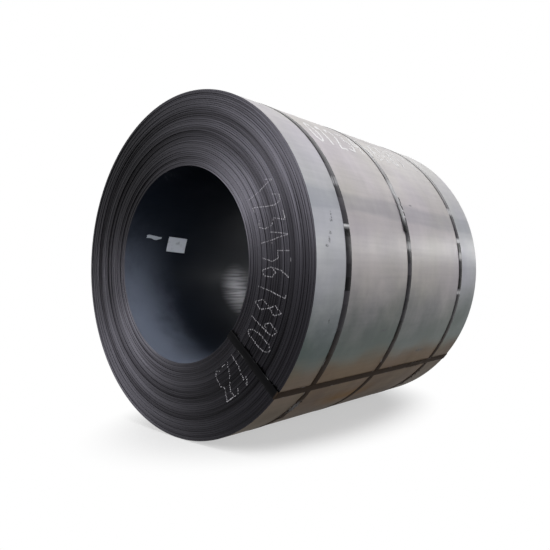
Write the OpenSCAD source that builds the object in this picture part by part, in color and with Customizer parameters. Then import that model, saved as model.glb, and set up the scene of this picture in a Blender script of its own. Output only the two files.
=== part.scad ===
// Hot-rolled steel coil, lying on its side, held by three girth straps and one strap through its eye.
// The coil's axis is Y. The front end, at -Y, is the one with the label just inside the eye.
// Angles round the axis are counted from +X towards +Z.

/* [Winding] */
// Diameter of the eye
eye_d = 762; // [600:2:800]
// Thickness of the rolled strip
gauge = 7; // [4:0.5:10]
// Number of turns wound on
turns = 41; // [24:1:60]
// Width of the rolled strip
strip_w = 1250; // [1150:10:1600]
// Furthest that a turn lies sideways of its true place
wander = 3.5; // [1:0.5:6]
// Break on the edges of the strip
edge_break = 1; // [0.6:0.1:1.5]

/* [Strapping] */
// Width of the strapping
strap_w = 32; // [19:1:40]
// Thickness of the strapping
strap_t = 1; // [0.6:0.1:1.4]
// Distance of the front girth strap from the front end
front_strap_at = 177; // [120:1:260]
// Distance of the middle girth strap from the middle, towards the front end
middle_strap_off = 33; // [-80:1:80]
// Distance of the rear girth strap from the rear end
rear_strap_at = 182; // [120:1:260]
// Length over which a strap's two ends lap
lap_l = 120; // [100:5:180]
// Length of the loose tail past the lap
tail_l = 28; // [15:1:40]
// Height at which the end of the tail stands off
tail_rise = 4; // [1:0.5:8]
// Depth of a notch in the lapped joint
notch_d = 5; // [2:0.5:7]
// Length of a notch in the lapped joint
notch_l = 9; // [5:1:12]
// Spacing of the notches in the lapped joint
notch_pitch = 26; // [20:1:30]

/* [Eye strap] */
// Place of the eye strap round the coil, in degrees
eye_strap_angle = -40.6; // [-80:0.1:-10]
// Distance of the eye strap's lapped joint from the rear end
eye_lap_at = 320; // [270:5:450]

/* [Label] */
// Length of the label along the eye
label_l = 107; // [60:1:150]
// Height of the label round the eye
label_h = 70; // [40:1:100]
// Thickness of the label's card
label_t = 0.4; // [0.3:0.1:0.6]
// Distance of the label from the front end
label_at = 272; // [200:1:320]
// Place of the label round the eye, in degrees
label_angle = 164; // [150:0.1:200]
// Tilt at which the label was stuck on, in degrees
label_tilt = -3; // [-10:0.5:10]
// Length of the torn tape
tape_l = 83; // [40:1:100]
// Width of the torn tape
tape_w = 23; // [12:1:30]
// Distance of the torn tape from the front end
tape_at = 138; // [90:1:150]
// Place of the torn tape round the eye, in degrees
tape_angle = 159.6; // [150:0.1:200]

/* [Hidden] */
$fn = 180;
eye_r = eye_d / 2;
coil_r = eye_r + turns * gauge;
front_y = -strip_w / 2;
// Overrun of every cut past the face that it opens
overrun = 2;
// Gap that a strap's slack leaves on the wall of the eye
strap_slack = 0.25;
// Thickness of the glue under the label
glue_t = 0.5;
// Place of each girth strap's joint round the coil, in degrees
front_lap_angle = -54.6;
middle_lap_angle = 13;
rear_lap_angle = -54.6;
// Number of notches along each edge of a joint
notches = 3;
// Number of flats in which a strap is bent round an edge
bend_steps = 4;
// Length of a tail's root inside the lap, and the share of the strap's thickness that it goes below it
bend_l = 3;
root_share = 0.5;
// Outline of the torn tape, in shares of its length and width
tape_shares = [
  [-0.5, -0.21], [-0.35, -0.2], [-0.22, -0.19], [-0.1, -0.31], [0.03, -0.49], [0.19, -0.5], [0.38, -0.29],
  [0.5, -0.18], [0.47, 0], [0.5, 0.16], [0.32, 0.16], [0.07, 0.3], [-0.2, 0.42], [-0.36, 0.5], [-0.5, 0.34],
  [-0.46, 0.06]
];
// Two waves that the winding wanders by, in degrees for each turn, and the share of the second
slow_wave = 31;
quick_wave = 127;
quick_share = 0.7;

// Sideways place of turn i
function shift(i) =
  wander * (sin(i * slow_wave) + quick_share * sin(i * quick_wave)) / (1 + quick_share);
shifts = [for (i = [0:turns - 1]) shift(i)];
// The straps over the ends lie on the turns that stand furthest out
front_reach = front_y + min(shifts);
back_reach = -front_y + max(shifts);
// A flat strap in the round eye bears on its two edges
eye_seat_r = sqrt(eye_r * eye_r - strap_w * strap_w / 4) - strap_slack;

// Points along one end of the winding, turn by turn outwards; side is -1 in front and 1 behind
function end_points(side) = [
  for (i = [0:turns - 1])
    let (r = eye_r + i * gauge, y = side * strip_w / 2 + shifts[i], in_y = y - side * edge_break)
      each [[r, in_y], [r + edge_break, y], [r + gauge - edge_break, y], [r + gauge, in_y]]
];
// Direction at an angle from the first axis
function toward(angle) = [cos(angle), sin(angle)];
function reversed(list) = [for (i = [len(list) - 1:-1:0]) list[i]];

// Turns a shape made round Z so that it lies round the coil's own axis
module round_axis() {
  rotate([-90, 0, 0]) mirror([0, 1, 0]) children();
}

// The notches that lock a lapped joint, along both edges of a strap that runs along X
module notch_rows() {
  for (k = [0:notches - 1], edge = [-1, 1])
    translate([(k - (notches - 1) / 2) * notch_pitch, edge * strap_w / 2, 0])
      cube([notch_l, 2 * notch_d, 4 * strap_t + 2 * overrun], center = true);
}

module coil() {
  color([0.36, 0.37, 0.39])
    round_axis()
      rotate_extrude()
        polygon(concat(end_points(-1), reversed(end_points(1))));
}

// Side view of a tail, out from the coil and then along the strap; it starts inside the lap
function tail_points() = [
  [tail_rise, -tail_l], [tail_rise + strap_t, -tail_l],
  [strap_t - root_share * strap_t / 2, bend_l], [-root_share * strap_t, bend_l]
];

// A strap round the coil at y, whose upper end laps over its lower end and stands off in a tail
module girth_strap(y, lap_angle) {
  lap_r = coil_r + 2 * strap_t;
  half_sweep = lap_l / coil_r * 90 / PI;
  middle = lap_angle + half_sweep;
  reach = (lap_r + overrun) / cos(half_sweep);
  color([0.16, 0.16, 0.18])
    translate([0, y, 0])
      difference() {
        round_axis()
          linear_extrude(strap_w, center = true)
            difference() {
              union() {
                circle(coil_r + strap_t);
                intersection() {
                  circle(lap_r);
                  polygon([[0, 0], for (side = [-1, 1]) reach * toward(middle + side * half_sweep)]);
                }
                rotate(lap_angle)
                  translate([coil_r + strap_t, 0])
                    polygon(tail_points());
              }
              circle(coil_r);
            }
        rotate([0, -middle, 0])
          translate([coil_r + strap_t, 0, 0])
            rotate([90, 90, 90])
              notch_rows();
      }
}

// Points of a rectangle with its four corners rounded
function rounded_outline(low, high, r) = [
  for (corner = [0:3], k = [0:bend_steps])
    let (
      centre = [
        corner == 1 || corner == 2 ? high[0] - r : low[0] + r,
        corner >= 2 ? high[1] - r : low[1] + r
      ]
    )
      centre + r * toward(180 + 90 * (corner + k / bend_steps))
];

// The strap that runs through the eye and back along the outside, over the girth straps
module eye_strap() {
  low = [eye_seat_r, front_reach];
  high = [coil_r + strap_t, back_reach];
  wall = [strap_t, strap_t];
  lap_y = -front_y - eye_lap_at;
  color([0.14, 0.14, 0.15])
    rotate([0, -eye_strap_angle, 0])
      difference() {
        linear_extrude(strap_w, center = true)
          difference() {
            union() {
              polygon(rounded_outline(low - wall, high + wall, edge_break + strap_t));
              translate([high[0], lap_y - lap_l / 2]) square([2 * strap_t, lap_l]);
            }
            polygon(rounded_outline(low, high, edge_break));
          }
        translate([high[0] + strap_t, lap_y, 0])
          rotate([90, 0, 90])
            notch_rows();
      }
}

// A piece of card on the wall of the eye, cut to the outline that is passed in
module on_wall(at, angle) {
  wall_r = eye_r - glue_t;
  rotate([0, -angle, 0])
    intersection() {
      rotate([90, 0, 0])
        difference() {
          cylinder(h = strip_w, r = wall_r, center = true);
          cylinder(h = strip_w + overrun, r = wall_r - label_t, center = true);
        }
      translate([eye_r / 2, front_y + at, 0])
        rotate([90, 0, 90])
          linear_extrude(eye_r)
            mirror([0, 1, 0])
              children();
    }
}

// The blank card
module label() {
  color([0.78, 0.79, 0.8])
    on_wall(label_at, label_angle)
      rotate(label_tilt)
        square([label_l, label_h], center = true);
}

// What is left of a strip of tape beside the label
module torn_tape() {
  color([0.7, 0.72, 0.74])
    on_wall(tape_at, tape_angle)
      polygon([for (p = tape_shares) [p[0] * tape_l, p[1] * tape_w]]);
}

coil();
girth_strap(front_y + front_strap_at, front_lap_angle);  // girth_strap_front
girth_strap(-middle_strap_off, middle_lap_angle);  // girth_strap_middle
girth_strap(-front_y - rear_strap_at, rear_lap_angle);  // girth_strap_rear
eye_strap();
label();
torn_tape();
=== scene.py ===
# %% [markdown]
# This lesson dresses a coil of hot-rolled steel that lies on its side.
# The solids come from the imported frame, and every piece made here takes their place, in metres.
# The axis of the coil is Y, and its front end is at -Y.

import math
import random

import bpy
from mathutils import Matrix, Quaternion, Vector


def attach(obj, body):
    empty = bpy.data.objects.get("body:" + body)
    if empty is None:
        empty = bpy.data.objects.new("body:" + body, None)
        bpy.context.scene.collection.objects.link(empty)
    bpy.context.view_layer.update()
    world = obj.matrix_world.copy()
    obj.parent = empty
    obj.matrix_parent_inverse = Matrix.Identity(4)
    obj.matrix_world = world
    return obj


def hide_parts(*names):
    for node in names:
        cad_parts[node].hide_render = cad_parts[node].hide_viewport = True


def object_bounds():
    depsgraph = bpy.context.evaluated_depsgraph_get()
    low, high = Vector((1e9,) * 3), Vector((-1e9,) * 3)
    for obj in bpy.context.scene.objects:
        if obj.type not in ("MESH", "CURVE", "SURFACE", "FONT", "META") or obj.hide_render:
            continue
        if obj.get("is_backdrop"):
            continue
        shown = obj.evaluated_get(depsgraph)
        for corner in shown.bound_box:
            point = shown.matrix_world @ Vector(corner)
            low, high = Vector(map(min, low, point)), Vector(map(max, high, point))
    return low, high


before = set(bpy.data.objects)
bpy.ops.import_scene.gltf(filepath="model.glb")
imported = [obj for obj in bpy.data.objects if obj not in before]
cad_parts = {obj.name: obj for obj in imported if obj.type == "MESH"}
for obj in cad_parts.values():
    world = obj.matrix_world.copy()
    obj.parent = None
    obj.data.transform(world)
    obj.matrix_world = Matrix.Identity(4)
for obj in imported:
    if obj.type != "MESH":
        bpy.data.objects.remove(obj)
cad_low, cad_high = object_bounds()
MM = 0.001
print("nodes", sorted(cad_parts), "box", tuple(cad_low), tuple(cad_high))

# %% [markdown]
# The camera stands low in front of the coil, to the right of its axis, and looks slightly up.
# A camera at zero turn looks down, so 90 degrees about X lifts it to the horizon.
# The small shift sets the coil off the middle of the picture and keeps its verticals upright.

# %% Camera
lens_data = bpy.data.cameras.new("camera")
lens_data.sensor_width = 36
lens_data.lens = 34.83
lens_data.shift_x = 0.0121
lens_data.shift_y = -0.02
camera = bpy.data.objects.new("camera", lens_data)
camera.location = (1.6508, -1.9115, -0.0697)
camera.rotation_euler = (math.radians(91.94), 0, math.radians(42.51))
bpy.context.scene.collection.objects.link(camera)
bpy.context.scene.camera = camera
bpy.context.scene.view_settings.view_transform = "Standard"
print("camera at", tuple(camera.location))

# %% [markdown]
# Colours are written as sRGB hex values, as a paint shop would, and turned to linear light once.
# One function adds a shader node, sets it up and links it, so that each material reads as a list.

# %% Helpers for materials
def linear(hex_colour):
    shares = [int(hex_colour[i:i + 2], 16) / 255 for i in (1, 3, 5)]
    return [s / 12.92 if s <= 0.04045 else ((s + 0.055) / 1.055) ** 2.4 for s in shares] + [1.0]


def set_inputs(tree, made, inputs):
    """Links an input that is given as the output of another node, and sets one that is given as a value."""
    for socket, value in inputs.items():
        if isinstance(value, bpy.types.NodeSocket):
            tree.links.new(value, made.inputs[socket])
        else:
            made.inputs[socket].default_value = value


def node(tree, kind, inputs=None, out=0, **settings):
    """Adds a shader node, sets it up, links it, and hands back one of its outputs."""
    made = tree.nodes.new("ShaderNode" + kind)
    for key, value in settings.items():
        setattr(made, key, value)
    set_inputs(tree, made, inputs or {})
    return made.outputs[out] if made.outputs else made


def new_material(name):
    material = bpy.data.materials.new(name)
    material.use_nodes = True
    return material, material.node_tree, material.node_tree.nodes["Principled BSDF"]


print("white is", linear("#ffffff"))

# %% [markdown]
# The floor and the world are plain white to the eye and to what mirrors them.
# Light that is scattered from them is weaker, so that the underside of the coil stays dark.
# Light Path tells the two apart.
# The floor is lit near the line on which the coil rests, and there it keeps the coil's shadow.

# %% World and floor
def seen_ray(tree):
    """1 for a ray that the eye, a mirror or glass sends out, and 0 for scattered light."""
    path = node(tree, "LightPath").node
    seen = path.outputs["Is Camera Ray"]
    for kind in ("Is Glossy Ray", "Is Transmission Ray"):
        seen = node(tree, "Math", {0: seen, 1: path.outputs[kind]}, operation="MAXIMUM")
    return seen


SKY_LIGHT = 0.1
world = bpy.data.worlds.new("studio")
bpy.context.scene.world = world
world.use_nodes = True
sky = world.node_tree
sky.nodes.clear()
lighting = node(sky, "Background", {"Color": linear("#f4f6ff"), "Strength": SKY_LIGHT})
backdrop = node(sky, "Background", {"Color": linear("#ffffff"), "Strength": 1.0})
sky_mix = node(sky, "MixShader", {0: seen_ray(sky), 1: lighting, 2: backdrop})
node(sky, "OutputWorld", {0: sky_mix})

FLOOR_SIZE = 60
bpy.ops.object.select_all(action="DESELECT")
bpy.ops.mesh.primitive_plane_add(size=FLOOR_SIZE, location=(0, 0, cad_low.z))
floor = bpy.context.active_object
floor.name = "floor"
floor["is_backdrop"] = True
floor_paint, tree, shader = new_material("white studio floor")
tree.nodes.remove(shader)
dull = node(tree, "BsdfDiffuse", {"Color": linear("#4c4844")})
lit = node(tree, "BsdfDiffuse", {"Color": linear("#d0d0d0")})
far = node(tree, "Emission", {"Color": linear("#ffffff"), "Strength": 1.0})
# Half of the brightness near the coil is the floor's own, so that the shadow stays pale.
OWN_LIGHT = 0.5
near = node(tree, "MixShader", {0: OWN_LIGHT, 1: lit, 2: far})
# Further out the floor goes over into plain white, in an oval that is narrower across the coil.
OVAL, FADE_FROM, FADE_TO = (1.6, 1, 0), 0.6, 1.02
floor_place = node(tree, "TexCoord", out="Object")
oval = node(tree, "VectorMath", {0: floor_place, 1: OVAL}, operation="MULTIPLY")
distance = node(tree, "VectorMath", {0: oval}, operation="LENGTH", out="Value")
fade = node(tree, "MapRange", {"Value": distance, "From Min": FADE_FROM, "From Max": FADE_TO},
            interpolation_type="SMOOTHSTEP")
bright = node(tree, "MixShader", {0: fade, 1: near, 2: far})
floor_mix = node(tree, "MixShader", {0: seen_ray(tree), 1: dull, 2: bright})
tree.links.new(floor_mix, tree.nodes["Material Output"].inputs[0])
floor.data.materials.append(floor_paint)
print("floor at", round(cad_low.z, 4))

# %% [markdown]
# A wide soft box overhead gives the steel its bright top and its fading side.
# A second box stands in front and above, and draws the two fans of light on the turned end.
# A long low strip and a box to the right give the pale band along the side, and two boxes light the back.
# A small lamp in front reaches into the eye and stays off the outside.

# %% Lamps
def soft_box(name, place, aim, size, watts, colour="#ffffff", roll=0):
    lamp = bpy.data.lights.new(name, "AREA")
    lamp.shape = "RECTANGLE"
    lamp.size, lamp.size_y = size
    lamp.energy = watts
    lamp.color = linear(colour)[:3]
    stand = bpy.data.objects.new(name, lamp)
    stand.location = place
    turn = (Vector(aim) - Vector(place)).to_track_quat("-Z", "Y") @ Quaternion((0, 0, 1), math.radians(roll))
    stand.rotation_euler = turn.to_euler()
    stand.visible_camera = False
    bpy.context.scene.collection.objects.link(stand)
    return stand


soft_box("main box", (2.25, -1.9, 3.6), (0, -0.2, 0), (1.8, 2.2), 150)
soft_box("front box", (-2.4, -5.0, 1.75), (0, -0.6, 0), (2.2, 2.2), 195)
soft_box("side strip", (4.2, 5.0, 1.1), (0.5, 0.2, 0.0), (5.0, 0.8), 70, roll=-6)
soft_box("side box", (3.6, -2.0, 0.6), (0.4, -0.1, 0.1), (1.6, 1.6), 32)
soft_box("rear box", (0.6, 5.2, 3.5), (0.3, 0.0, 0.2), (4.5, 1.6), 18)
soft_box("back box", (-1.6, 5.6, 0.75), (-0.1, 0.6, 0), (1.8, 1.2), 60)
eye_light = soft_box("eye light", (0.5, -2.2, 0.05), (-0.38, -0.3, -0.02), (0.3, 0.3), 1.6)
eye_light.data.spread = math.radians(40)

# %% [markdown]
# The winding is 41 turns of 7 mm strip, 1250 mm wide, on an eye of 762 mm.
# No turn lies quite over the one before it, and the step from edge to edge is what shows on the ends.
# The half section could be a stack of rectangles, but the walls between the turns would stay inside.
# So its outline is drawn point by point with extrude, as with a pen, and spun once round the axis.

# %% Sizes of the winding
EYE_R, GAUGE, TURNS, HALF_W = 381 * MM, 7 * MM, 41, 625 * MM
COIL_R = EYE_R + TURNS * GAUGE
WANDER, EDGE_BREAK = 3.5 * MM, 1 * MM
# Two waves that the winding wanders by, in degrees for each turn, and the share of the second.
SLOW_WAVE, QUICK_WAVE, QUICK_SHARE = 31, 127, 0.7


def sideways(turn):
    """How far a turn lies sideways of its true place, as in the solid."""
    slow, quick = (math.sin(math.radians(turn * wave)) for wave in (SLOW_WAVE, QUICK_WAVE))
    return WANDER * (slow + QUICK_SHARE * quick) / (1 + QUICK_SHARE)


def end_points(side):
    """Points of one end, turn by turn outwards; side is -1 in front and 1 behind."""
    points = []
    for turn in range(TURNS):
        r, y = EYE_R + turn * GAUGE, side * HALF_W + sideways(turn)
        low = y - side * EDGE_BREAK
        points += [(r, low), (r + EDGE_BREAK, y), (r + GAUGE - EDGE_BREAK, y), (r + GAUGE, low)]
    return points


half_section = end_points(-1) + end_points(1)[::-1]
print("half section has", len(half_section), "points, outer radius", round(COIL_R, 4))

# %% Spin the winding
def add_primitive(name, add, **size):
    """Adds a primitive with nothing else selected, and leaves it in edit mode."""
    bpy.ops.object.select_all(action="DESELECT")
    add(**size)
    piece = bpy.context.active_object
    piece.name = piece.data.name = name
    bpy.ops.object.transform_apply(location=True, rotation=True, scale=True)
    bpy.ops.object.mode_set(mode="EDIT")
    bpy.ops.mesh.select_all(action="SELECT")
    return piece


MERGE, SMOOTH_ANGLE = 0.02 * MM, math.radians(30)


def finish_mesh():
    """Closes the seams of the piece in edit mode, turns its faces outwards and smooths its round walls."""
    bpy.ops.mesh.select_all(action="SELECT")
    bpy.ops.mesh.remove_doubles(threshold=MERGE)
    bpy.ops.mesh.normals_make_consistent(inside=False)
    bpy.ops.object.mode_set(mode="OBJECT")
    bpy.ops.object.shade_smooth_by_angle(angle=SMOOTH_ANGLE)


SPIN_STEPS = 264
first = half_section[0]
coil = add_primitive("coil_winding", bpy.ops.mesh.primitive_plane_add, size=GAUGE,
                     location=(first[0], first[1], 0))
bpy.ops.mesh.merge(type="CENTER")
for here, there in zip(half_section, half_section[1:] + half_section[:1]):
    step = (there[0] - here[0], there[1] - here[1], 0)
    bpy.ops.mesh.extrude_region_move(TRANSFORM_OT_translate={"value": step})
bpy.ops.mesh.select_all(action="SELECT")
bpy.ops.mesh.spin(steps=SPIN_STEPS, angle=math.tau, center=(0, 0, 0), axis=(0, 1, 0))
finish_mesh()
print(coil.name, len(coil.data.polygons), "faces")

# %% [markdown]
# The edge of a real turn also wavers a little on its way round, more at one place than at another.
# Each turn gets a slow wave of its own, from a seeded draw, and its two edges are moved by it.

# %% Waver of the turns
WAVER = 0.7 * MM
draw = random.Random(41)
waves = [[(draw.choice((2, 3, 5, 7)), draw.uniform(0, math.tau), draw.uniform(0.3, 1)) for _ in range(2)]
         for _ in range(TURNS)]


def waver(turn, angle):
    return WAVER * sum(share * math.sin(count * angle + start) for count, start, share in waves[turn]) / 2


for vertex in coil.data.vertices:
    r = math.hypot(vertex.co.x, vertex.co.z)
    turn = min(TURNS - 1, max(0, int((r - EYE_R) / GAUGE)))
    on_flat = EDGE_BREAK / 2 < r - EYE_R - turn * GAUGE < GAUGE - EDGE_BREAK / 2
    if on_flat:
        vertex.co.y += waver(turn, math.atan2(vertex.co.z, vertex.co.x))
coil.data.update()
print("turns waver by up to", WAVER)

# %% [markdown]
# The end of the coil is the stack of all the strip's edges.
# Each edge was trimmed by the mill and rubbed by handling, so it is dark satin steel, each its own shade.
# Because the edges run round, they spread the light across them, and a lamp shows as two fans.
# The anisotropic setting of the shader does that, with a tangent that runs round Y; the fans are also painted
# into the colour.

# %% Material of the ends
edge_steel, tree, shader = new_material("trimmed edges of hot-rolled steel")
place = node(tree, "TexCoord", out="Object")
axes = node(tree, "SeparateXYZ", {0: place}).node
spoke = node(tree, "CombineXYZ", {0: axes.outputs[0], 2: axes.outputs[2]})
radius = node(tree, "VectorMath", {0: spoke}, operation="LENGTH", out="Value")
heading = node(tree, "VectorMath", {0: spoke}, operation="NORMALIZE")
lap = node(tree, "Math", {0: radius, 1: 1 / GAUGE, 2: -EYE_R / GAUGE}, operation="MULTIPLY_ADD")
lap_number = node(tree, "Math", {0: lap}, operation="FLOOR")
lap_share = node(tree, "Math", {0: lap}, operation="FRACT")
# One shade for each turn, drawn by its number.
own_shade = node(tree, "TexWhiteNoise", {"W": lap_number}, noise_dimensions="1D", out="Value")
# Groups of turns are painted darker and lighter: the dark groups are painted shade of turns that stand back,
# and the light ones are rubbed bright.
across = node(tree, "MapRange", {"Value": radius, "From Min": EYE_R, "From Max": COIL_R})
group = node(tree, "ValToRGB", {0: across})
group.node.color_ramp.interpolation = "B_SPLINE"
GROUP_SHADES = [(0.0, 0.75), (0.042, 0.85), (0.118, 0.42), (0.16, 0.8), (0.21, 0.55), (0.296, 0.85),
                (0.338, 0.4), (0.366, 0.55), (0.436, 0.0), (0.52, 0.6), (0.575, 0.85), (0.624, 0.3),
                (0.655, 0.6), (0.704, 0.0), (0.79, 0.95), (0.854, 0.4), (0.895, 0.75), (0.93, 0.35),
                (0.965, 0.85), (1.0, 0.7)]
stops = group.node.color_ramp.elements
for share, shade in GROUP_SHADES:
    stop = stops[0] if share == 0 else stops[-1] if share == 1 else stops.new(share)
    stop.color = (shade, shade, shade, 1)
# Long patches of rubbing run along each turn: about a quarter turn long and one turn deep.
along = node(tree, "VectorMath", {0: heading, 1: (1.6, 0, 1.6)}, operation="MULTIPLY")
lap_lift = node(tree, "Math", {0: lap_number, 1: 3.7}, operation="MULTIPLY")
lap_slot = node(tree, "CombineXYZ", {1: lap_lift})
patch_at = node(tree, "VectorMath", {0: along, 1: lap_slot}, operation="ADD")
patches = node(tree, "TexNoise", {"Vector": patch_at, "Scale": 1.0, "Detail": 3.0}, out="Fac")
# The joint between two turns is a dark line about 0.8 mm wide.
from_middle = node(tree, "Math", {0: lap_share, 1: 0.5}, operation="SUBTRACT")
from_middle = node(tree, "Math", {0: from_middle}, operation="ABSOLUTE")
joint = node(tree, "MapRange", {"Value": from_middle, "From Min": 0.42, "From Max": 0.49,
             "To Min": 1.0, "To Max": 0.72}, interpolation_type="SMOOTHSTEP")
shade = node(tree, "Math", {0: own_shade, 1: 0.25, 2: -0.12}, operation="MULTIPLY_ADD")
shade = node(tree, "Math", {0: shade, 1: group}, operation="ADD")
patch_swing = node(tree, "Math", {0: patches, 1: 0.9, 2: -0.45}, operation="MULTIPLY_ADD")
shade = node(tree, "Math", {0: shade, 1: patch_swing}, operation="ADD", use_clamp=True)
tint = node(tree, "Mix", {0: shade, 6: linear("#18171a"), 7: linear("#38373c")}, data_type="RGBA", out=2)
# Two opposite sectors, at 40 and 220 degrees, are painted lighter as the fans of a painted highlight, the
# lower left one most, and the sectors between them are painted darker.
PAINTED_FAN_ANGLE = math.radians(40)
fan_facing = node(tree, "VectorMath", {0: heading, 1: (math.cos(PAINTED_FAN_ANGLE), 0, math.sin(PAINTED_FAN_ANGLE))},
             operation="DOT_PRODUCT", out="Value")
painted_lower_left_sheen = node(tree, "MapRange", {"Value": fan_facing, "From Min": -1.0, "From Max": 0.5, "To Min": 1.5,
                "To Max": 1.0})
fan_facing = node(tree, "Math", {0: fan_facing, 1: fan_facing}, operation="MULTIPLY")
painted_fans = node(tree, "MapRange", {"Value": fan_facing, "To Min": 0.52, "To Max": 1.35})
# Painted shade darkens the end high on the left, round 155 degrees.
PAINTED_SHADE_ANGLE = math.radians(155)
painted_upper_left_shade = node(tree, "VectorMath", {0: heading, 1: (math.cos(PAINTED_SHADE_ANGLE), 0, math.sin(PAINTED_SHADE_ANGLE))},
             operation="DOT_PRODUCT", out="Value")
painted_upper_left_shade = node(tree, "MapRange", {"Value": painted_upper_left_shade, "From Min": 0.5, "From Max": 0.95, "To Min": 1.0,
             "To Max": 0.55}, interpolation_type="SMOOTHSTEP")
# The dark joints are multiplied with the painted fans and the painted shade.
for factor in (painted_fans, painted_lower_left_sheen, painted_upper_left_shade):
    joint = node(tree, "Math", {0: joint, 1: factor}, operation="MULTIPLY")
joints_and_painted_light = node(tree, "CombineXYZ", {0: joint, 1: joint, 2: joint})
edge_colour = node(tree, "Mix", {0: 1.0, 6: tint, 7: joints_and_painted_light}, data_type="RGBA",
                   blend_type="MULTIPLY", out=2)
gloss = node(tree, "MapRange", {"Value": shade, "To Min": 0.52, "To Max": 0.38})
round_axis = node(tree, "Tangent", direction_type="RADIAL", axis="Y")
set_inputs(tree, shader, {"Base Color": edge_colour, "Roughness": gloss, "Metallic": 1.0, "Anisotropic": 0.72,
                          "Anisotropic Rotation": 0.25, "Tangent": round_axis})
print(edge_steel.name, len(tree.nodes), "nodes")

# %% [markdown]
# The strip left the mill with a thin skin of scale, a little bluer towards its edges, where it cooled faster.
# The skin is satin, and it mirrors a lamp as a soft band that wavers with the strip.
# Faint breaks run across the strip, from edge to edge, where it was bent on its way into the coil.
# Its outer end lies low on the far side and its inner end in the eye: a line of painted shade where the cut
# edge steps down, and a rubbed corner.
# They could be steps in the surface, but the winding stays a turned body, so they are lines in the material.

# %% Ends of the strip
CORNER_W, LINE_CORE = 4 * MM, 0.7


def strip_end(tree, place, angle):
    """Two lines across the strip: painted shade of its cut edge, as wide as the gauge, and the rubbed corner.
    """
    out = (math.cos(math.radians(angle)), 0, math.sin(math.radians(angle)))
    round_about = (-out[2], 0, out[0])
    on_side = node(tree, "VectorMath", {0: place, 1: out}, operation="DOT_PRODUCT", out="Value")
    on_side = node(tree, "Math", {0: on_side, 1: 0.0}, operation="GREATER_THAN")
    past = node(tree, "VectorMath", {0: place, 1: round_about}, operation="DOT_PRODUCT", out="Value")
    lines = []
    for middle, half in ((GAUGE / 2, GAUGE / 2), (GAUGE + CORNER_W / 2, CORNER_W / 2)):
        away = node(tree, "Math", {0: past, 1: middle}, operation="SUBTRACT")
        away = node(tree, "Math", {0: away}, operation="ABSOLUTE")
        line = node(tree, "MapRange", {"Value": away, "From Min": half, "From Max": LINE_CORE * half})
        lines.append(node(tree, "Math", {0: line, 1: on_side}, operation="MULTIPLY"))
    return lines


OUTER_END, INNER_END = 198, 24
print("the strip ends at", OUTER_END, "degrees outside and at", INNER_END, "degrees in the eye")

# %% Material of the outside
outer_scale, tree, shader = new_material("mill scale on hot-rolled strip")
place = node(tree, "TexCoord", out="Object")
axes = node(tree, "SeparateXYZ", {0: place}).node
height = axes.outputs[2]
# Rolling streaks: 40 mm apart across the strip and half a turn long.
rolled_at = node(tree, "Mapping", {"Vector": place, "Scale": (1.5, 1 / (40 * MM), 1.5)})
streaks = node(tree, "TexNoise", {"Vector": rolled_at, "Scale": 1.0, "Detail": 3.0}, out="Fac")
# Breaks: 14 mm apart round the coil and 300 mm long across it.
break_at = node(tree, "Mapping", {"Vector": place, "Scale": (1 / (14 * MM), 1 / 0.3, 1 / (14 * MM))})
breaks = node(tree, "TexNoise", {"Vector": break_at, "Scale": 1.0, "Detail": 2.0}, out="Fac")
# Clouds in the scale, about 180 mm wide, and a fine grain of 3 mm.
clouds = node(tree, "TexNoise", {"Vector": place, "Scale": 1 / 0.18, "Detail": 5.0,
              "Roughness": 0.55}, out="Fac")
grain = node(tree, "TexNoise", {"Vector": place, "Scale": 1 / (3 * MM), "Detail": 2.0}, out="Fac")
# Each pattern swings the shade about its middle by its own share.
shade = node(tree, "Math", {0: clouds, 1: 1.1, 2: -0.05}, operation="MULTIPLY_ADD")
for pattern, swing in ((streaks, 0.3), (breaks, 0.4), (grain, 0.25)):
    step = node(tree, "Math", {0: pattern, 1: swing, 2: -swing / 2}, operation="MULTIPLY_ADD")
    shade = node(tree, "Math", {0: shade, 1: step}, operation="ADD")
shade = node(tree, "Clamp", {0: shade})
tint = node(tree, "Mix", {0: shade, 6: linear("#9f9da1"), 7: linear("#cac7c7")}, data_type="RGBA", out=2)
print(outer_scale.name, "has", len(tree.nodes), "nodes for its plain skin")

# %% [markdown]
# Thin films tint the skin, and the eye sees the skin through them, so their colours are multiplied, as are
# those of a painted reflection band and of painted shade on the lower part.
# Stains, painted shade near the ground, scuffs and the painted shade of the cut end cover it, so their
# colours are mixed in one after the other.

# %% Thin tints, a painted reflection and painted shade on the outside
# The blue margins begin about 180 mm from each edge of the strip, and are stronger on the side than on top.
off_middle = node(tree, "Math", {0: axes.outputs[1]}, operation="ABSOLUTE")
margin = node(tree, "MapRange", {"Value": off_middle, "From Min": 0.43, "From Max": 0.47},
              interpolation_type="SMOOTHSTEP")
bluer = node(tree, "MapRange", {"Value": height, "From Min": 0.5, "From Max": 0.15, "To Min": 0.3})
margin = node(tree, "Math", {0: margin, 1: bluer}, operation="MULTIPLY")
# Thicker and thinner scale shows as warm and violet fields, about 300 mm wide.
fields = node(tree, "TexNoise", {"Vector": place, "Scale": 1 / 0.3, "Detail": 2.0}, out="Fac")
fields = node(tree, "MapRange", {"Value": fields, "From Min": 0.36, "From Max": 0.64})
# One band along the side, about 16 to 22 degrees up, is painted darker as a painted reflection; its limits
# waver slowly along the strip.
slow_at = node(tree, "Mapping", {"Vector": place, "Scale": (1 / 0.12, 1 / 0.45, 1 / 0.12)})
slow = node(tree, "TexNoise", {"Vector": slow_at, "Scale": 1.0, "Detail": 3.0}, out="Fac")
reflection_band_height = node(tree, "Math", {0: slow, 1: 0.05, 2: height}, operation="MULTIPLY_ADD")
painted_reflection_band = node(tree, "MapRange", {"Value": reflection_band_height, "From Min": 0.178, "From Max": 0.192})
reflection_band_top = node(tree, "MapRange", {"Value": reflection_band_height, "From Min": 0.262, "From Max": 0.246})
painted_reflection_band = node(tree, "Math", {0: painted_reflection_band, 1: reflection_band_top}, operation="MULTIPLY")
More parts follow.
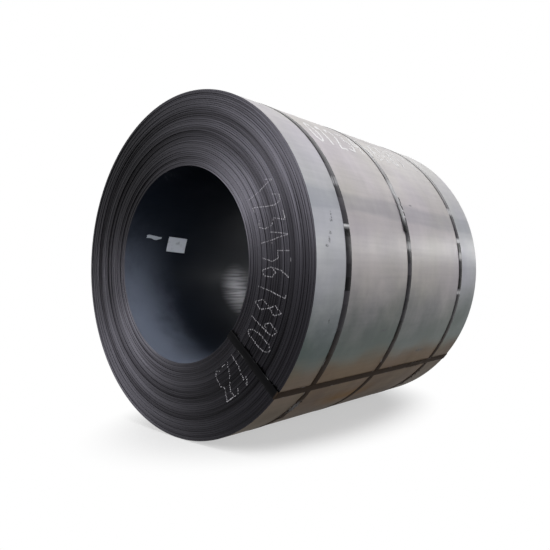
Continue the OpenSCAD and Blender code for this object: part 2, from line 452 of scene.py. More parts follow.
# The lower part is painted darker and grey-green up to a ragged limit, as painted shade of the underside,
# with tan rust below it.
ragged = node(tree, "Math", {0: clouds, 1: 0.2, 2: height}, operation="MULTIPLY_ADD")
painted_underside_shade = node(tree, "MapRange", {"Value": ragged, "From Min": 0.09, "From Max": -0.22},
            interpolation_type="SMOOTHSTEP")
rust_height = node(tree, "Math", {0: clouds, 1: 0.1, 2: height}, operation="MULTIPLY_ADD")
rust = node(tree, "MapRange", {"Value": rust_height, "From Min": -0.25, "From Max": -0.35},
            interpolation_type="SMOOTHSTEP")
washes = [node(tree, "Mix", {0: cover, 6: linear(bare), 7: linear(washed)}, data_type="RGBA", out=2)
          for cover, bare, washed in ((margin, "#f3f1f2", "#edf5fc"), (fields, "#fcfbf3", "#faf6fa"),
                                      (painted_reflection_band, "#ffffff", "#e9ebee"), (painted_underside_shade, "#ffffff", "#5f7c72"))]
washes[-1] = node(tree, "Mix", {0: rust, 6: washes[-1], 7: linear("#c3ad90")}, data_type="RGBA", out=2)
for wash in washes:
    tint = node(tree, "Mix", {0: 1.0, 6: tint, 7: wash}, data_type="RGBA", blend_type="MULTIPLY", out=2)
print("washes on the outside", len(washes))

# %% Stains, scuffs and painted shade on the outside
def spot(tree, place, centre, half_sizes):
    """Distance from the centre of a spot, in shares of its half sizes."""
    away = node(tree, "VectorMath", {0: place, 1: centre}, operation="SUBTRACT")
    away = node(tree, "VectorMath", {0: away, 1: half_sizes}, operation="DIVIDE")
    return node(tree, "VectorMath", {0: away}, operation="LENGTH", out="Value")


# Towards the ground the rust goes over into a painted dark brown shade.
painted_ground_shade = node(tree, "MapRange", {"Value": ragged, "From Min": -0.32, "From Max": -0.48, "To Max": 0.6})
# A spot of fresh rust, orange, low on the side.
FRESH_PLACE, FRESH_SIZE = (0.41, -0.1, -0.53), (0.08, 0.2, 0.07)
fresh = spot(tree, place, FRESH_PLACE, FRESH_SIZE)
fresh = node(tree, "Math", {0: clouds, 1: 1.4, 2: fresh}, operation="MULTIPLY_ADD")
fresh = node(tree, "MapRange", {"Value": fresh, "From Min": 1.7, "From Max": 0.9})
# A chain and a fork scuffed the side.
# A scuff has its angle, its place along Y, half its height and half its width.
SCUFFS = [(12.5, -525, 16, 4), (11, -530, 6, 9), (7.5, -545, 7, 10), (5.5, -552, 12, 6), (3.8, -566, 5, 10),
          (21, 60, 4, 14), (-17, -520, 9, 5), (-33, 250, 6, 40), (-22, -150, 5, 26)]
SCUFF_DEPTH = 1 / 0.3
scuffed = 0.0
for angle, y, half_height, half_width in SCUFFS:
    centre = (COIL_R * math.cos(math.radians(angle)), y * MM, COIL_R * math.sin(math.radians(angle)))
    half_sizes = (SCUFF_DEPTH * half_height * MM, half_width * MM, half_height * MM)
    near_by = node(tree, "MapRange", {"Value": spot(tree, place, centre, half_sizes), "From Min": 1.2,
                   "From Max": 0.4})
    scuffed = node(tree, "Math", {0: scuffed, 1: near_by}, operation="MAXIMUM")
scratches = node(tree, "TexNoise", {"Vector": place, "Scale": 1 / (5 * MM), "Detail": 4.0}, out="Fac")
broken = node(tree, "MapRange", {"Value": scratches, "From Min": 0.4, "From Max": 0.55})
scuffed = node(tree, "Math", {0: scuffed, 1: broken}, operation="MULTIPLY")
painted_step_shade, corner = strip_end(tree, place, OUTER_END)
# The dark line of the cut end is painted shade of the step.
for cover, colour in ((painted_ground_shade, "#3a2e20"), (fresh, "#6a4908"), (scuffed, "#3d3f44"), (corner, "#b9b8ba"),
                      (painted_step_shade, "#17171a")):
    tint = node(tree, "Mix", {0: cover, 6: tint, 7: linear(colour)}, data_type="RGBA", out=2)
print("scuffs on the outside", len(SCUFFS))

# %% Gloss and waves of the outside
gloss = node(tree, "MapRange", {"Value": shade, "To Min": 0.4, "To Max": 0.27})
gloss = node(tree, "Math", {0: rust, 1: 0.3, 2: gloss}, operation="MULTIPLY_ADD")
# The strip is not truly round: slow waves 150 mm long, the breaks and the grain tilt what it mirrors.
swell = node(tree, "TexNoise", {"Vector": place, "Scale": 1 / 0.15, "Detail": 1.0}, out="Fac")
bump = node(tree, "Bump", {"Strength": 1.0, "Distance": 0.7 * MM, "Height": swell})
for strength, depth, pattern in ((1.0, 0.11 * MM, breaks), (0.1, 0.3 * MM, grain)):
    bump = node(tree, "Bump", {"Strength": strength, "Distance": depth, "Height": pattern,
                "Normal": bump})
set_inputs(tree, shader, {"Base Color": tint, "Roughness": gloss, "Normal": bump, "Specular IOR Level": 0.22})
print(outer_scale.name, len(tree.nodes), "nodes")

# %% [markdown]
# Inside the eye the scale is whole and blue-black, and hardly any light comes back from it.
# Near both mouths the lower half of the wall is painted lighter, as painted light that falls in at the
# mouths.
# Deep on the left wall, a painted reflection of the light at the far mouth lies in bright streaks.

# %% Material of the wall of the eye
eye_scale, tree, shader = new_material("blue-black scale in the eye")
place = node(tree, "TexCoord", out="Object")
axes = node(tree, "SeparateXYZ", {0: place}).node
# Patches about 90 mm wide, and streaks 9 mm apart and 200 mm long.
patches = node(tree, "TexNoise", {"Vector": place, "Scale": 1 / 0.09, "Detail": 5.0,
               "Roughness": 0.6}, out="Fac")
streak_at = node(tree, "Mapping", {"Vector": place, "Scale": (1 / (9 * MM), 1 / 0.2, 1 / (9 * MM))})
streaks = node(tree, "TexNoise", {"Vector": streak_at, "Scale": 1.0, "Detail": 3.0}, out="Fac")
# The painted light lies low on the wall and near the mouths, broken up by the patches.
low = node(tree, "Math", {0: patches, 1: 0.25, 2: axes.outputs[2]}, operation="MULTIPLY_ADD")
low = node(tree, "MapRange", {"Value": low, "From Min": 0.42, "From Max": -0.2},
           interpolation_type="SMOOTHSTEP")
off_middle = node(tree, "Math", {0: axes.outputs[1]}, operation="ABSOLUTE")
mouth = node(tree, "Math", {0: patches, 1: 0.16, 2: off_middle}, operation="MULTIPLY_ADD")
mouth = node(tree, "MapRange", {"Value": mouth, "From Min": 0.4, "From Max": 0.68},
             interpolation_type="SMOOTHSTEP")
painted_mouth_light = node(tree, "Math", {0: low, 1: mouth}, operation="MULTIPLY")
# The painted reflection is broken into streaks.
GLARE_PLACE, GLARE_SIZE = (-0.36, 0.045, -0.12), (0.3, 0.13, 0.16)
painted_reflection_streaks = node(tree, "MapRange", {"Value": spot(tree, place, GLARE_PLACE, GLARE_SIZE), "From Min": 1.0,
           "From Max": 0.0}, interpolation_type="SMOOTHSTEP")
bare = node(tree, "MapRange", {"Value": streaks, "From Min": 0.3, "From Max": 0.55, "To Min": 0.25})
painted_reflection_streaks = node(tree, "Math", {0: painted_reflection_streaks, 1: bare}, operation="MULTIPLY")
painted_step_shade, corner = strip_end(tree, place, INNER_END)
tint = linear("#0f131a")
# The dark line of the cut end is painted shade of the step.
for cover, colour in ((streaks, "#151a23"), (painted_mouth_light, "#565c69"), (painted_reflection_streaks, "#d2d1d9"), (corner, "#5d6068"),
                      (painted_step_shade, "#050507")):
    tint = node(tree, "Mix", {0: cover, 6: tint, 7: linear(colour)}, data_type="RGBA", out=2)
gloss = node(tree, "MapRange", {"Value": patches, "From Min": 0.3, "From Max": 0.7, "To Min": 0.28,
             "To Max": 0.4})
bump = node(tree, "Bump", {"Strength": 0.5, "Distance": 0.5 * MM, "Height": patches})
set_inputs(tree, shader, {"Base Color": tint, "Roughness": gloss, "Normal": bump, "Specular IOR Level": 0.15})
print(eye_scale.name, len(tree.nodes), "nodes")

# %% Dress the winding
for material in (outer_scale, edge_steel, eye_scale):
    coil.data.materials.append(material)
WALL_DEPTH = 0.3 * MM
for face in coil.data.polygons:
    r = math.hypot(face.center.x, face.center.z)
    face.material_index = 0 if r > COIL_R - WALL_DEPTH else 2 if r < EYE_R + WALL_DEPTH else 1
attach(coil, "root")
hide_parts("coil")
print(coil.name, "has", len(coil.data.materials), "materials")

# %% [markdown]
# Steel strapping is straight stock, 32 mm wide and 1 mm thick, that is pulled tight round the coil.
# It could be spun like the winding, but its two ends lap, and the upper one stands off in a loose tail.
# So each strap is first drawn out flat along X, notched there as by the tool, and then wound on by a rule.

# %% Flat strapping
STRAP_W, STRAP_T, STRAP_BREAK = 32 * MM, 1 * MM, 0.3 * MM
LAP_L, TAIL_L, TAIL_RISE = 120 * MM, 28 * MM, 4 * MM
NOTCH_L, NOTCH_D, NOTCH_PITCH, NOTCHES = 9 * MM, 5 * MM, 26 * MM, 3


def flat_strap(name, stations):
    """A strap along X, from its first station to its last, with its lower side at z = 0."""
    strap = add_primitive(name, bpy.ops.mesh.primitive_plane_add, size=1, rotation=(0, math.pi / 2, 0))
    middle = (stations[0], 0, STRAP_T / 2)
    bpy.ops.transform.resize(value=(1, STRAP_W, STRAP_T), center_override=(0, 0, 0))
    bpy.ops.transform.translate(value=middle)
    bpy.ops.mesh.bevel(offset=STRAP_BREAK, segments=2, affect="VERTICES")
    for here, there in zip(stations, stations[1:]):
        bpy.ops.mesh.extrude_region_move(TRANSFORM_OT_translate={"value": (there - here, 0, 0)})
    bpy.ops.mesh.select_all(action="SELECT")
    bpy.ops.mesh.normals_make_consistent(inside=False)
    bpy.ops.object.mode_set(mode="OBJECT")
    return strap


def cut_notches(strap, joints):
    """Cuts rows of notches along both edges, round each middle of a joint."""
    places = [(joint + (k - (NOTCHES - 1) / 2) * NOTCH_PITCH, edge * STRAP_W / 2)
              for joint in joints for k in range(NOTCHES) for edge in (-1, 1)]
    cutter = add_primitive("notch_punch", bpy.ops.mesh.primitive_cube_add, size=1, location=(*places[0], 0),
                           scale=(NOTCH_L, 2 * NOTCH_D, 6 * STRAP_T))
    for place in places[1:]:
        bpy.ops.mesh.primitive_cube_add(size=1, location=(*place, 0),
                                        scale=(NOTCH_L, 2 * NOTCH_D, 6 * STRAP_T))
    bpy.ops.object.mode_set(mode="OBJECT")
    punch = strap.modifiers.new("notches", "BOOLEAN")
    punch.operation, punch.solver, punch.object = "DIFFERENCE", "EXACT", cutter
    bpy.context.view_layer.objects.active = strap
    bpy.ops.object.modifier_apply(modifier=punch.name)
    bpy.data.objects.remove(cutter)


print("strapping", STRAP_W, "by", STRAP_T)

# %% [markdown]
# The notches fold small tabs of steel outwards, and their fresh edges are bare and bright.
# Each tab is a small plate that leans up from the notch.

# %% Tabs of a joint
TAB_L, TAB_W, TAB_T, TAB_LEAN = 7 * MM, 4.5 * MM, 0.8 * MM, math.radians(38)


def select_only(piece):
    bpy.ops.object.select_all(action="DESELECT")
    bpy.context.view_layer.objects.active = piece
    piece.select_set(True)


def add_tabs(strap, joint):
    """Adds the tabs of a joint to the upper side of the flat strap."""
    height = STRAP_T + TAB_T
    select_only(strap)
    bpy.ops.object.mode_set(mode="EDIT")
    for k in range(NOTCHES):
        for edge in (-1, 1):
            x = joint + (k - (NOTCHES - 1) / 2) * NOTCH_PITCH
            y = edge * (STRAP_W / 2 - NOTCH_D + TAB_W / 3)
            bpy.ops.mesh.primitive_cube_add(size=1, location=(x, y, height), rotation=(edge * TAB_LEAN, 0, 0),
                                            scale=(TAB_L, TAB_W, TAB_T))
    bpy.ops.object.mode_set(mode="OBJECT")


def ease(share):
    share = min(1, max(0, share))
    return share * share * (3 - 2 * share)


GLINT_AND_SCRAPE_SOFT = 1.6


def wind_on(strap, rule, glint_and_scrape_spots=()):
    """Moves each point of the flat strap by the rule, and keeps its place and its painted glints and scrapes
    for the material.
    """
    kept = ("along", "across", "glints_and_scrapes")
    for name in kept:
        strap.data.attributes.new(name, "FLOAT", "POINT")
    along, across, glints_and_scrapes = (strap.data.attributes[name].data for name in kept)
    for k, vertex in enumerate(strap.data.vertices):
        x, y, _ = vertex.co
        along[k].value, across[k].value = x, y
        glints_and_scrapes[k].value = max([0] + [amount * ease(GLINT_AND_SCRAPE_SOFT - abs(x - middle) / half)
                                      * (1 - tilt * (0.5 - y / STRAP_W))
                                      for middle, half, amount, tilt in glint_and_scrape_spots])
        vertex.co = rule(*vertex.co)
    strap.data.update()
    select_only(strap)
    bpy.ops.object.mode_set(mode="EDIT")
    bpy.ops.mesh.select_all(action="SELECT")
    bpy.ops.mesh.normals_make_consistent(inside=False)
    bpy.ops.object.mode_set(mode="OBJECT")
    bpy.ops.object.shade_smooth_by_angle(angle=SMOOTH_ANGLE)


print("tabs of", TAB_L, "by", TAB_W)

# %% [markdown]
# A girth strap starts under its own lap, runs once round, climbs over its first end and ends in the tail.
# A tight strap still lies a few tenths of a millimetre off the steel here and there, but not under the coil.

# %% Girth straps
ONE_TURN = math.tau * COIL_R
LAP_GAP, SLACK, DRIFT = 0.1 * MM, 0.5 * MM, 0.8 * MM
# The strap climbs over its first end on the way up to the lap, and may run askew over its last half metre.
CLIMB_AT, CLIMB_L, SKEW_L = 14 * MM, 12 * MM, 0.5
STATIONS, TAIL_CURVE = 600, 1.4
# Low on the coil, where its weight and the eye strap hold the strap down, it neither slackens nor drifts.
FREE_FROM, FREE_OVER, RIPPLES, SWAYS = -0.35, 0.4, 9, 2


def girth_strap(node_name, y, lap_angle, seed, glints_and_scrapes_at, skew=0):
    first_angle = math.radians(lap_angle) + LAP_L / COIL_R
    length = ONE_TURN + LAP_L + TAIL_L
    strap = flat_strap(node_name + "_wound", [length * k / STATIONS for k in range(STATIONS + 1)])
    cut_notches(strap, (LAP_L / 2, ONE_TURN + LAP_L / 2))
    add_tabs(strap, ONE_TURN + LAP_L / 2)
    draw = random.Random(seed)
    ripple_start, sway_start = draw.uniform(0, math.tau), draw.uniform(0, math.tau)

    def rule(x, across, height):
        angle = first_angle - x / COIL_R
        over = ease((x - ONE_TURN + CLIMB_AT) / CLIMB_L) * (STRAP_T + LAP_GAP)
        tail = max(0, x - ONE_TURN - LAP_L) / TAIL_L
        free = ease((math.sin(angle) - FREE_FROM) / FREE_OVER)
        loose = free * SLACK * (1 + math.sin(RIPPLES * angle + ripple_start)) / 2
        drift = free * DRIFT * math.sin(SWAYS * angle + sway_start)
        askew = skew * ease((x - ONE_TURN + SKEW_L) / SKEW_L)
        r = COIL_R + height + over + loose + (TAIL_RISE - STRAP_T) * tail ** TAIL_CURVE
        return Vector((r * math.cos(angle), y + across + drift + askew, r * math.sin(angle)))

    # A bright spot is partly painted glint and partly scrape; it has its angle, half length, strength and
    # fading to the front edge, and lies on the top layer.
    glint_and_scrape_spots = []
    for angle, half, amount, tilt in glints_and_scrapes_at:
        x = (first_angle - math.radians(angle)) % math.tau * COIL_R
        glint_and_scrape_spots.append((x + ONE_TURN if x < LAP_L else x, half * MM, amount, tilt))
    wind_on(strap, rule, glint_and_scrape_spots)
    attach(strap, "root")
    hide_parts(node_name)
    return strap


girth_straps = [girth_strap("girth_strap_front", -448 * MM, -54.6, 1,
                            [(10, 5, 1.0, 0), (24, 14, 0.35, 0), (-50, 30, 0.4, 0),
                             (140, 40, 0.4, 0), (205, 25, 0.6, 0)]),
                girth_strap("girth_strap_middle", -33 * MM, 13, 2,
                            [(19, 46, 1.0, 1), (26, 40, 0.8, 0.5), (6, 14, 0.5, 0),
                             (120, 30, 0.5, 0), (190, 40, 0.5, 0)], skew=-11 * MM),
                girth_strap("girth_strap_rear", 443 * MM, -54.6, 3,
                            [(22, 14, 0.85, 0), (10, 8, 1.0, 0), (4, 14, 0.7, 0),
                             (-10, 8, 0.9, 0), (110, 30, 0.5, 0), (170, 25, 0.6, 0)])]
print("girth straps", [len(s.data.polygons) for s in girth_straps], "faces")

# %% [markdown]
# The fourth strap goes through the eye and back along the outside, over the other three.
# It is bent sharply over the four edges of the winding, so its flat length gets close stations at each bend.
# The rule walks along a rounded rectangle in the plane of the strap.

# %% Eye strap
EYE_STRAP_ANGLE = math.radians(-40.6)
EYE_SLACK = 0.25 * MM
EYE_SEAT_R = math.sqrt(EYE_R ** 2 - STRAP_W ** 2 / 4) - EYE_SLACK
OUTER_SEAT_R = COIL_R + STRAP_T
BEND_R, BEND_STEPS = 1 * MM, 6
front_reach = -HALF_W + min(sideways(turn) for turn in range(TURNS))
back_reach = HALF_W + max(sideways(turn) for turn in range(TURNS))
EYE_LAP_Y = HALF_W - 320 * MM
# Corners in the order of the run: front outside, front inside, back inside, back outside.
corners = [(OUTER_SEAT_R, front_reach), (EYE_SEAT_R, front_reach), (EYE_SEAT_R, back_reach),
           (OUTER_SEAT_R, back_reach)]
start = (OUTER_SEAT_R, EYE_LAP_Y + LAP_L / 2)
end = (OUTER_SEAT_R, EYE_LAP_Y - LAP_L / 2)


def bend_run():
    """Points of the run as (place, outward direction), with the flat length at each."""
    run = []
    path = [start] + corners + [end]
    for before, corner, after in zip(path, path[1:], path[2:]):
        coming = (Vector(corner) - Vector(before)).normalized()
        going = (Vector(after) - Vector(corner)).normalized()
        centre = Vector(corner) - coming * BEND_R + going * BEND_R
        for step in range(BEND_STEPS + 1):
            turn = math.pi / 2 * step / BEND_STEPS
            out = -going * math.cos(turn) + coming * math.sin(turn)
            run.append((centre + out * BEND_R, out))
    first_out, last_out = run[0][1], run[-1][1]
    return [(Vector(start), first_out)] + run + [(Vector(end), last_out)]


run = bend_run()
run_lengths = [0]
for (a, _), (b, _) in zip(run, run[1:]):
    run_lengths.append(run_lengths[-1] + (b - a).length)
RUN = run_lengths[-1]
print("eye strap is", round(RUN, 3), "m long")


def on_run(x):
    for k in range(len(run) - 1):
        if x <= run_lengths[k + 1] or k == len(run) - 2:
            share = (x - run_lengths[k]) / (run_lengths[k + 1] - run_lengths[k])
            return run[k][0].lerp(run[k + 1][0], share), run[k][1].lerp(run[k + 1][1], share).normalized()


def eye_rule(x, across, height):
    place, out = on_run(x)
    over = ease((x - RUN + LAP_L + CLIMB_AT) / CLIMB_L) * (STRAP_T + LAP_GAP)
    r, y = place + out * (height + over)
    side = Vector((-math.sin(EYE_STRAP_ANGLE), 0, math.cos(EYE_STRAP_ANGLE)))
    return Vector((r * math.cos(EYE_STRAP_ANGLE), y, r * math.sin(EYE_STRAP_ANGLE))) + side * across


EVEN_STEPS, LEAST_STEP = 80, 0.05 * MM
even = [RUN * k / EVEN_STEPS for k in range(EVEN_STEPS + 1)]
climb = [RUN - LAP_L - d * MM for d in (2, 6, 10, 14)]
eye_stations = sorted(set(run_lengths + even + climb))
eye_stations = [a for a, b in zip(eye_stations, eye_stations[1:] + [RUN + 1]) if b - a > LEAST_STEP]
eye_strap = flat_strap("eye_strap_bent", eye_stations)
cut_notches(eye_strap, (LAP_L / 2, RUN - LAP_L / 2))
add_tabs(eye_strap, RUN - LAP_L / 2)
wind_on(eye_strap, eye_rule)
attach(eye_strap, "root")
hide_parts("eye_strap")
print(eye_strap.name, len(eye_strap.data.polygons), "faces")

# %% [markdown]
# The strapping is black waxed steel: dark, smooth and a little greasy, with its edges rubbed bare.
# The places along and across the strap were kept when it was wound on, so the rubbing can follow its edges.

# %% Material of the strapping
black_strap, tree, shader = new_material("black waxed steel strapping")
along, across, glints_and_scrapes = (node(tree, "Attribute", attribute_name=name, out="Fac")
                          for name in ("along", "across", "glints_and_scrapes"))
strap_axes = node(tree, "SeparateXYZ", {0: node(tree, "TexCoord", out="Object")}).node
strap_height = strap_axes.outputs[2]
strap_place = node(tree, "CombineXYZ", {0: along, 1: across})
# Smears of wax, 60 mm long and 6 mm wide.
smear_at = node(tree, "VectorMath", {0: strap_place, 1: (1 / 0.06, 1 / 0.006, 1)},
                operation="MULTIPLY")
smears = node(tree, "TexNoise", {"Vector": smear_at, "Scale": 1.0, "Detail": 4.0}, out="Fac")
from_middle = node(tree, "Math", {0: across}, operation="ABSOLUTE")
rim = node(tree, "MapRange", {"Value": from_middle, "From Min": STRAP_W / 2 - 2.5 * MM,
           "From Max": STRAP_W / 2 - 0.5 * MM})
worn = node(tree, "MapRange", {"Value": smears, "From Min": 0.6, "From Max": 0.75})
rubbed = node(tree, "Math", {0: rim, 1: worn}, operation="MULTIPLY")
# Blocks 45 mm long on the outside of the coil are painted lighter, as painted reflections of the strap's
# slightly kinked facets.
strap_spoke = node(tree, "CombineXYZ", {0: strap_axes.outputs[0], 2: strap_height})
strap_r = node(tree, "VectorMath", {0: strap_spoke}, operation="LENGTH", out="Value")
outside = node(tree, "MapRange", {"Value": strap_r, "From Min": 0.662, "From Max": 0.667})
painted_facet_glints = node(tree, "Math", {0: along, 1: 1 / (45 * MM)}, operation="MULTIPLY")
painted_facet_glints = node(tree, "Math", {0: painted_facet_glints}, operation="FLOOR")
painted_facet_glints = node(tree, "TexWhiteNoise", {"W": painted_facet_glints}, noise_dimensions="1D", out="Value")
painted_facet_glints = node(tree, "MapRange", {"Value": painted_facet_glints, "From Min": 0.3, "From Max": 1.0})
painted_facet_glints = node(tree, "Math", {0: painted_facet_glints, 1: outside}, operation="MULTIPLY")
# Painted sheen lightens the part that faces up, leaves the edges dark, and is weaker on the front strap.
painted_top_sheen = node(tree, "MapRange", {"Value": strap_height, "From Min": 0.18, "From Max": 0.5,
               "To Max": 0.8})
sheen_dark_at_rim = node(tree, "MapRange", {"Value": from_middle, "From Min": 9 * MM, "From Max": 12 * MM,
                   "To Min": 1.0, "To Max": 0.05})
sheen_weak_in_front = node(tree, "MapRange", {"Value": strap_axes.outputs[1], "From Min": -0.44, "From Max": -0.04,
                     "To Min": 0.3})
sheen_patches = node(tree, "MapRange", {"Value": smears, "From Min": 0.25, "From Max": 0.6, "To Min": 0.6})
for sheen_fade in (sheen_dark_at_rim, sheen_weak_in_front, sheen_patches):
    painted_top_sheen = node(tree, "Math", {0: painted_top_sheen, 1: sheen_fade}, operation="MULTIPLY")
# Mud and rust dull the part that faces down.
muddy = node(tree, "MapRange", {"Value": strap_height, "From Min": -0.22, "From Max": -0.4})
muddy = node(tree, "Math", {0: muddy, 1: outside}, operation="MULTIPLY")
# Painted glints and scrapes down to bare steel, broken into streaks by the smears.
bits = node(tree, "MapRange", {"Value": smears, "From Min": 0.36, "From Max": 0.48})
glints_and_scrapes = node(tree, "Math", {0: glints_and_scrapes, 1: bits}, operation="MULTIPLY")
# Bare steel covers the rubbed rims and the painted glints.
bare = node(tree, "Math", {0: rubbed, 1: glints_and_scrapes}, operation="MAXIMUM")
wax = linear("#060607")
for cover, colour in ((smears, "#111113"), (painted_facet_glints, "#454348"), (painted_top_sheen, "#cfcdce"), (muddy, "#3a3028"),
                      (bare, "#d2d2d5")):
    wax = node(tree, "Mix", {0: cover, 6: wax, 7: linear(colour)}, data_type="RGBA", out=2)
gloss = node(tree, "MapRange", {"Value": smears, "To Min": 0.12, "To Max": 0.26})
gloss = node(tree, "Math", {0: muddy, 1: 0.5, 2: gloss}, operation="MULTIPLY_ADD")
# The strap is not quite flat: dents about 40 mm apart break up what it mirrors.
dent_at = node(tree, "VectorMath", {0: strap_place, 1: (1 / 0.04, 1 / 0.05, 1)}, operation="MULTIPLY")
dents = node(tree, "TexNoise", {"Vector": dent_at, "Scale": 1.0, "Detail": 2.0}, out="Fac")
bump = node(tree, "Bump", {"Strength": 0.6, "Distance": 2 * MM, "Height": dents})
set_inputs(tree, shader, {"Base Color": wax, "Roughness": gloss, "Normal": bump, "Specular IOR Level": 0.03})
for strap in girth_straps + [eye_strap]:
    strap.data.materials.append(black_strap)
print(black_strap.name, "on", len(girth_straps) + 1, "straps")

# %% [markdown]
# The card in the eye is blank, and of the tape beside it only a torn piece is left.
# Their solids have the right shape, so they stay and only get paper: matt and a little grubby, and painted
# grey with the shade that lies on them in the eye.

# %% Card and tape
def blotted(name, ground, blot, blot_size, blot_from, blot_to):
    """A material of one colour with blots of another, which begin and end at two levels of a noise."""
    material, tree, shader = new_material(name)
    place = node(tree, "TexCoord", out="Object")
    blots = node(tree, "TexNoise", {"Vector": place, "Scale": 1 / blot_size, "Detail": 3.0}, out="Fac")
    cover = node(tree, "MapRange", {"Value": blots, "From Min": blot_from, "From Max": blot_to})
    colour = node(tree, "Mix", {0: cover, 6: linear(ground), 7: linear(blot)}, data_type="RGBA", out=2)
    tree.links.new(colour, shader.inputs["Base Color"])
    return material, tree, shader, place


def paper_material(name, shaded_paper, grubby, blot_size):
    material, tree, shader, place = blotted(name, shaded_paper, grubby, blot_size, 0.56, 0.8)
    fibres = node(tree, "TexNoise", {"Vector": place, "Scale": 1 / (1.5 * MM), "Detail": 2.0}, out="Fac")
    rough = node(tree, "MapRange", {"Value": fibres, "To Min": 0.6, "To Max": 0.8})
    tree.links.new(rough, shader.inputs["Roughness"])
    return material


# The paper colours are darker than white paper, as painted shade inside the eye.
for node_name, paper in (("label", paper_material("coated card", "#bbc0c9", "#888d95", 30 * MM)),
                         ("torn_tape", paper_material("torn paper tape", "#989ea7", "#787e87", 20 * MM))):
    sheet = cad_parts[node_name]
    sheet.data.materials.clear()
    sheet.data.materials.append(paper)
print("card and tape dressed")

# %% [markdown]
# Numbers were chalked across the turns of the front end, and brushed in white along the top.
# Chalk only takes on the edges that stand out, so a stroke breaks up into one dash on each turn.
# A font would give clean outlines, so the digits are drawn as single strokes, and each dash is a small plate.

# %% Digits as strokes
DIGITS = {
    "0": [(.3, 1), (.1, .85), (.03, .5), (.1, .15), (.3, 0), (.5, .15), (.57, .5), (.5, .85), (.3, 1)],
    "1": [(.1, .8), (.32, 1), (.3, 0)],
    "2": [(.05, .8), (.2, 1), (.45, .97), (.55, .78), (.4, .5), (.03, 0), (.58, .02)],
    "3": [(.05, .95), (.5, .97), (.22, .58), (.5, .48), (.55, .2), (.35, 0), (.03, .08)],
    "4": [(.42, 0), (.45, 1), (.03, .35), (.6, .36)],
    "5": [(.55, 1), (.12, .98), (.08, .58), (.4, .6), (.56, .35), (.4, .04), (.03, .05)],
    "6": [(.5, .98), (.2, .7), (.05, .3), (.2, .02), (.48, .08), (.52, .35), (.3, .5), (.08, .35)],
    "7": [(.03, .98), (.57, 1), (.25, 0)],
    "8": [(.3, .55), (.08, .75), (.3, 1), (.52, .78), (.3, .55), (.04, .25), (.3, 0), (.56, .25), (.3, .55)],
    "9": [(.52, .72), (.3, .5), (.06, .7), (.25, 1), (.5, .9), (.52, .72), (.45, .3), (.3, 0)],
}


def stroke_steps(digit, width, height, step):
    """Short pieces of a digit's stroke as pairs of points (along the line of writing, up)."""
    points = [(x * width, y * height) for x, y in DIGITS[digit]]
    for (x0, y0), (x1, y1) in zip(points, points[1:]):
        count = max(1, round(math.hypot(x1 - x0, y1 - y0) / step))
        for k in range(count):
            yield ((x0 + (x1 - x0) * k / count, y0 + (y1 - y0) * k / count),
                   (x0 + (x1 - x0) * (k + 1) / count, y0 + (y1 - y0) * (k + 1) / count))


def slanted(step, lean, lift):
    return [(s + lean * t, t + lift) for s, t in step]


def dash_corners(a, b, half_width):
    """Four corners of a dash from a to b, in the plane of the writing."""
    (s0, t0), (s1, t1) = a, b
    length = math.hypot(s1 - s0, t1 - t0)
    ds, dt = -(t1 - t0) / length * half_width, (s1 - s0) / length * half_width
    return [(s0 - ds, t0 - dt), (s1 - ds, t1 - dt), (s1 + ds, t1 + dt), (s0 + ds, t0 + dt)]


def plates(name, quads, thickness, material):
    """One closed mesh of small plates, each given by its four corners seen from outside."""
    mesh = bpy.data.meshes.new(name)
    corners = [corner for quad in quads for corner in quad]
    mesh.from_pydata(corners, [], [tuple(range(4 * k, 4 * k + 4)) for k in range(len(quads))])
    piece = bpy.data.objects.new(name, mesh)
    bpy.context.scene.collection.objects.link(piece)
    select_only(piece)
    wall = piece.modifiers.new("thickness", "SOLIDIFY")
    wall.thickness, wall.offset = thickness, 1
    bpy.ops.object.modifier_apply(modifier=wall.name)
    mesh.materials.append(material)
    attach(piece, "root")
    print(name, len(quads), "plates")


def dusty_white(name, worn, full, grain_size):
    material, _, shader, _ = blotted(name, worn, full, grain_size, 0.3, 0.7)
    shader.inputs["Roughness"].default_value = 0.9
    shader.inputs["Specular IOR Level"].default_value = 0.1
    return material


print("digits", "".join(DIGITS))

# %% Chalk on the front end
CHALK_W, CHALK_T, STANDOFF = 4 * MM, 0.25 * MM, 0.05 * MM
CHALK_LOW, CHALK_HIGH, CHALK_PITCH = 440 * MM, 560 * MM, 58 * MM
CHALK_DIGIT_W, CHALK_STEP, CHALK_SKIP, CLEAR = 72 * MM, 2.2 * MM, 0.14, 1.1 * EDGE_BREAK
mid_r = (CHALK_LOW + CHALK_HIGH) / 2
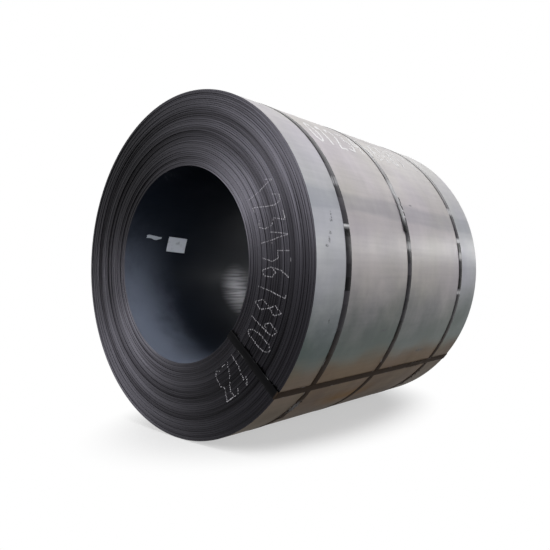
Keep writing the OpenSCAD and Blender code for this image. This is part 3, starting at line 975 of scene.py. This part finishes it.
# The first row ends at the eye strap, and the second goes on below it.
chalk_rows = (("1234567890", 31), ("123", -44.5))
chalk_digits = [(digit, math.radians(angle) - place * CHALK_PITCH / mid_r)
                for row, angle in chalk_rows for place, digit in enumerate(row)]
draw = random.Random(7)
dashes = []
for digit, first_angle in chalk_digits:
    lean, lift = draw.uniform(-0.1, 0.1), draw.uniform(-6, 6) * MM
    for step in stroke_steps(digit, CHALK_DIGIT_W, CHALK_HIGH - CHALK_LOW, CHALK_STEP):
        a, b = slanted(step, lean, lift)
        r = CHALK_LOW + (a[1] + b[1]) / 2
        turn = int((r - EYE_R) / GAUGE)
        low = EYE_R + turn * GAUGE + CLEAR
        high = EYE_R + (turn + 1) * GAUGE - CLEAR
        if draw.random() < CHALK_SKIP or not low < r < high:
            continue
        quad = []
        for s, t in dash_corners(a, b, CHALK_W / 2 * draw.uniform(0.6, 1.0)):
            r = min(high, max(low, CHALK_LOW + t))
            angle = first_angle - s / mid_r
            y = -HALF_W + sideways(turn) + waver(turn, angle) - STANDOFF
            quad.append((r * math.cos(angle), y, r * math.sin(angle)))
        dashes.append(quad)
plates("chalk_digits", dashes, CHALK_T, dusty_white("dry white chalk", "#79777c", "#b9b8bd", 4 * MM))

# %% Brushed digits along the top
BRUSH_W, BRUSH_T, BRUSH_FIRST_Y = 13 * MM, 0.25 * MM, -392 * MM
BRUSH_LOW, BRUSH_H, BRUSH_PITCH = math.radians(41), 135 * MM, 68 * MM
BRUSH_DIGIT_W, BRUSH_STEP = 84 * MM, 5 * MM
# The brush runs dry along the row, so more and more steps are skipped.
BRUSH_SKIP, BRUSH_DRYING = 0.04, 0.012
brush_r = COIL_R + STANDOFF
draw = random.Random(12)
strokes = []
for place, digit in enumerate("0123456789 12"):
    if digit == " ":
        continue
    lean, lift = draw.uniform(0.05, 0.2), draw.uniform(-8, 8) * MM
    first_y = BRUSH_FIRST_Y + place * BRUSH_PITCH
    for step in stroke_steps(digit, BRUSH_DIGIT_W, BRUSH_H, BRUSH_STEP):
        a, b = slanted(step, lean, lift)
        if draw.random() < BRUSH_SKIP + BRUSH_DRYING * place:
            continue
        quad = []
        for s, t in dash_corners(a, b, BRUSH_W / 2 * draw.uniform(0.7, 1.1)):
            angle = BRUSH_LOW + t / COIL_R
            quad.append((brush_r * math.cos(angle), first_y + s, brush_r * math.sin(angle)))
        strokes.append(quad)
plates("brushed_digits", strokes, BRUSH_T, dusty_white("brushed white marking", "#cfcecf", "#eeeded", 9 * MM))

# %% [markdown]
# The last step prints how far the solids and the dressed model reach, so that the two can be compared.

# %% Size of the dressed model
low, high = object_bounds()
print("cad", tuple(cad_low), tuple(cad_high), "visual", tuple(low), tuple(high))
